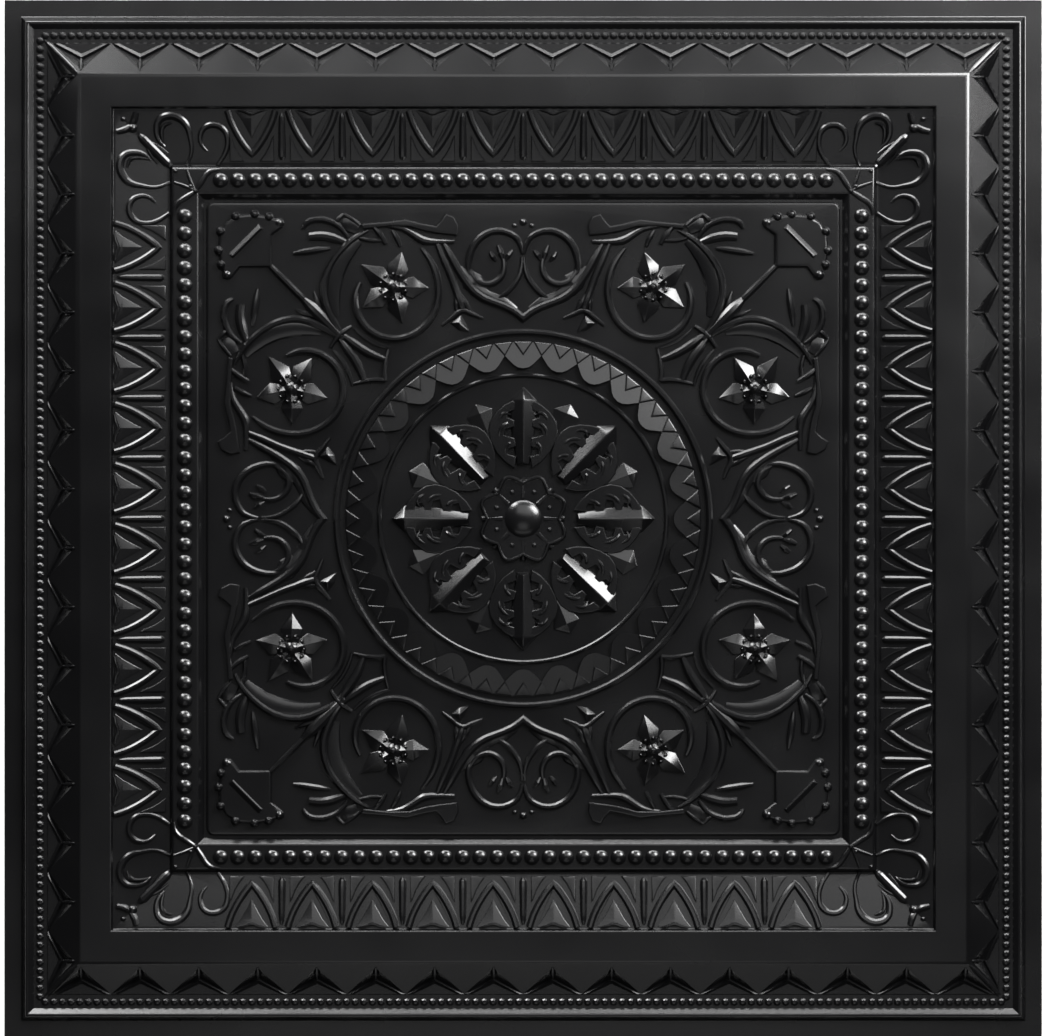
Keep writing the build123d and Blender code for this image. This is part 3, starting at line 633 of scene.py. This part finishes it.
# the eighth is cut out, hollowed from behind by the gauge, and mirrored three times
far = half + 20
wedge = outlined([(0, 0), (0, far), (far, far)], -20)
bpy.ops.transform.translate(value=(0, 0, 30 * mm))
objectMode()
combine(sheet, faceOut(wedge), "INTERSECT")
combine(sheet, hollow, "DIFFERENCE")
selectNothing(sheet, "FACE")
points = sheet.data.vertices
for face in sheet.data.polygons:
    corners = [points[v].co for v in face.vertices]
    onAxis = all(abs(co.x) < 2e-6 for co in corners)
    onDiagonal = all(abs(co.x - co.y) < 2e-6 for co in corners)
    face.select = onAxis or onDiagonal
bpy.ops.object.mode_set(mode="EDIT")
bpy.ops.mesh.delete(type="FACE")
bpy.ops.mesh.select_all(action="SELECT")
bpy.ops.mesh.remove_doubles(threshold=2e-6)
objectMode()
bpy.ops.object.empty_add(location=(0, 0, 0), rotation=(0, 0, math.radians(-45)))
mirrorPlane = bpy.context.object
for plane in (mirrorPlane, None, None):
    only(sheet)
    fold = sheet.modifiers.new("fold", "MIRROR")
    fold.mirror_object = plane
    fold.use_axis = (plane is not None or not sheet.get("halved"), plane is None and bool(sheet.get("halved")), False)
    fold.merge_threshold = 5e-6
    bpy.ops.object.modifier_apply(modifier="fold")
    if plane is None:
        sheet["halved"] = True
bpy.data.objects.remove(mirrorPlane)
sheet.name = "pressedSheet"
only(sheet)
bpy.ops.object.shade_smooth_by_angle(angle=math.radians(25))
weigh = sheet.modifiers.new("weigh", "WEIGHTED_NORMAL")
weigh.keep_sharp = True
bpy.ops.object.modifier_apply(modifier="weigh")
print("sheet done", len(sheet.data.polygons), "faces")

# black PVC sheet, vacuum-formed: satin, with a faint leathery texture from the mould
pvc = {
    "colour": "080809", "ior": 1.53, "roughness": 0.25, "roughnessSpread": 0.03,
    "grain": 0.9,  # mm between the bumps; the real one is finer
    "grainDepth": 0.02,  # mm
    "ripple": 45.0, "rippleDepth": 0.15,  # slow unevenness of the heated sheet, in mm
}


def linear(hexColour):
    # sRGB hex to the linear values that Blender works in
    values = [int(hexColour[i:i + 2], 16) / 255 for i in (0, 2, 4)]
    return [v / 12.92 if v <= 0.04045 else ((v + 0.055) / 1.055) ** 2.4 for v in values] + [1.0]


def addNode(tree, kind, settings=(), links=()):
    # one node, with its settings and what feeds it
    node = tree.nodes.new(kind)
    for name, value in dict(settings).items():
        if name in node.inputs:
            node.inputs[name].default_value = value
        else:
            setattr(node, name, value)
    for name, (source, output) in dict(links).items():
        tree.links.new(source.outputs[output], node.inputs[name])
    return node


def newMaterial(name):
    material = bpy.data.materials.new(name)
    material.use_nodes = True
    material.node_tree.nodes.clear()
    return material, material.node_tree


satinPvc, tree = newMaterial("blackSatinPvc")
place = addNode(tree, "ShaderNodeTexCoord")
grain = addNode(tree, "ShaderNodeTexNoise", {"Scale": 1 / (pvc["grain"] * mm), "Detail": 2.0}, {"Vector": (place, "Object")})
ripple = addNode(tree, "ShaderNodeTexNoise", {"Scale": 1 / (pvc["ripple"] * mm), "Detail": 1.0}, {"Vector": (place, "Object")})
fine = addNode(tree, "ShaderNodeBump", {"Strength": 1.0, "Distance": pvc["grainDepth"] * mm}, {"Height": (grain, "Fac")})
slow = addNode(tree, "ShaderNodeBump", {"Strength": 1.0, "Distance": pvc["rippleDepth"] * mm},
               {"Height": (ripple, "Fac"), "Normal": (fine, "Normal")})
low, high = pvc["roughness"] - pvc["roughnessSpread"], pvc["roughness"] + pvc["roughnessSpread"]
sheen = addNode(tree, "ShaderNodeMapRange", {"From Min": 0.3, "From Max": 0.7, "To Min": low, "To Max": high}, {"Value": (ripple, "Fac")})
surface = addNode(tree, "ShaderNodeBsdfPrincipled", {"Base Color": linear(pvc["colour"]), "IOR": pvc["ior"]},
                  {"Roughness": (sheen, "Result"), "Normal": (slow, "Normal")})
addNode(tree, "ShaderNodeOutputMaterial", (), {"Surface": (surface, "BSDF")})
sheet.data.materials.clear()
sheet.data.materials.append(satinPvc)
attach(sheet, "root")
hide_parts("tile_sheet")
print("material done")

# studio: pale floor, camera square above the tile, soft boxes round it
studio = {
    "floorSize": 6.0, "floorColour": "e9e9e8", "lens": 150.0, "sensor": 36.0,
    "pixelsPerMm": 1.7206, "imageWidth": 1043, "imageHeight": 1036, "tileCentre": (523.2, 518.8),
    "world": 0.03,
    # name, place, size and power in watts; each faces the tile's centre
    "lamps": [
        ("broadPanel", (0.2, 1.25, 2.2), (2.0, 1.4), 17.0),
        ("upperLeft", (-0.66, 1.1, 0.62), (0.4, 0.4), 13.0),
        ("upperRight", (0.9, 0.78, 0.94), (0.7, 0.58), 40.0),
        ("lowStrip", (0.0, 1.7, 0.5), (2.8, 0.3), 50.0),
        ("lowerFill", (0.0, -1.0, 2.5), (1.2, 0.8), 2.5),
        ("lowerSlope", (0.0, -1.95, 1.95), (2.4, 0.4), 3.0),
    ],
}
bpy.ops.object.select_all(action="DESELECT")
bpy.ops.mesh.primitive_plane_add(size=studio["floorSize"], location=(0, 0, 0))
floor = bpy.context.object
floor.name = "floor"
paleFloor, tree = newMaterial("paleFloor")
rays = addNode(tree, "ShaderNodeLightPath")
seen = addNode(tree, "ShaderNodeMath", {"operation": "MAXIMUM"})
tree.links.new(rays.outputs["Is Camera Ray"], seen.inputs[0])
tree.links.new(rays.outputs["Is Glossy Ray"], seen.inputs[1])
shown = addNode(tree, "ShaderNodeMath", {"operation": "MAXIMUM"})
tree.links.new(seen.outputs[0], shown.inputs[0])
tree.links.new(rays.outputs["Is Transmission Ray"], shown.inputs[1])
paint = addNode(tree, "ShaderNodeBsdfDiffuse", {"Color": linear(studio["floorColour"])})
glow = addNode(tree, "ShaderNodeEmission", {"Color": linear(studio["floorColour"]), "Strength": 0.8})
blank = addNode(tree, "ShaderNodeMixShader")
tree.links.new(shown.outputs[0], blank.inputs[0])
tree.links.new(paint.outputs[0], blank.inputs[1])
lit = addNode(tree, "ShaderNodeAddShader")
tree.links.new(paint.outputs[0], lit.inputs[0])
tree.links.new(glow.outputs[0], lit.inputs[1])
tree.links.new(lit.outputs[0], blank.inputs[2])
addNode(tree, "ShaderNodeOutputMaterial", (), {"Surface": (blank, 0)})
floor.data.materials.append(paleFloor)

world = bpy.data.worlds.new("plainSky")
bpy.context.scene.world = world
world.use_nodes = True
tree = world.node_tree
tree.nodes.clear()
rays = addNode(tree, "ShaderNodeLightPath")
level = addNode(tree, "ShaderNodeMapRange", {"To Min": studio["world"], "To Max": 0.85}, {"Value": (rays, "Is Camera Ray")})
sky = addNode(tree, "ShaderNodeBackground", {"Color": (1, 1, 1, 1)}, {"Strength": (level, "Result")})
addNode(tree, "ShaderNodeOutputWorld", (), {"Surface": (sky, "Background")})

for name, place, size, power in studio["lamps"]:
    bpy.ops.object.light_add(type="AREA", location=place)
    lamp = bpy.context.object
    lamp.name = name
    lamp.data.shape = "RECTANGLE"
    lamp.data.size, lamp.data.size_y = size
    lamp.data.energy = power
    lamp.rotation_euler = (-lamp.location).to_track_quat("-Z", "Y").to_euler()

distance = studio["lens"] / studio["sensor"] * studio["imageWidth"] / studio["pixelsPerMm"] * mm
offset = [(studio["imageWidth"] / 2 - studio["tileCentre"][0]) / studio["pixelsPerMm"] * mm,
          (studio["tileCentre"][1] - studio["imageHeight"] / 2) / studio["pixelsPerMm"] * mm]
bpy.ops.object.camera_add(location=(offset[0], offset[1], distance + gauge * mm), rotation=(0, 0, 0))
camera = bpy.context.object
camera.data.lens = studio["lens"]
camera.data.sensor_width = studio["sensor"]
camera.data.clip_end = 100
bpy.context.scene.camera = camera
bpy.context.scene.view_settings.view_transform = "Standard"

print("studio done")
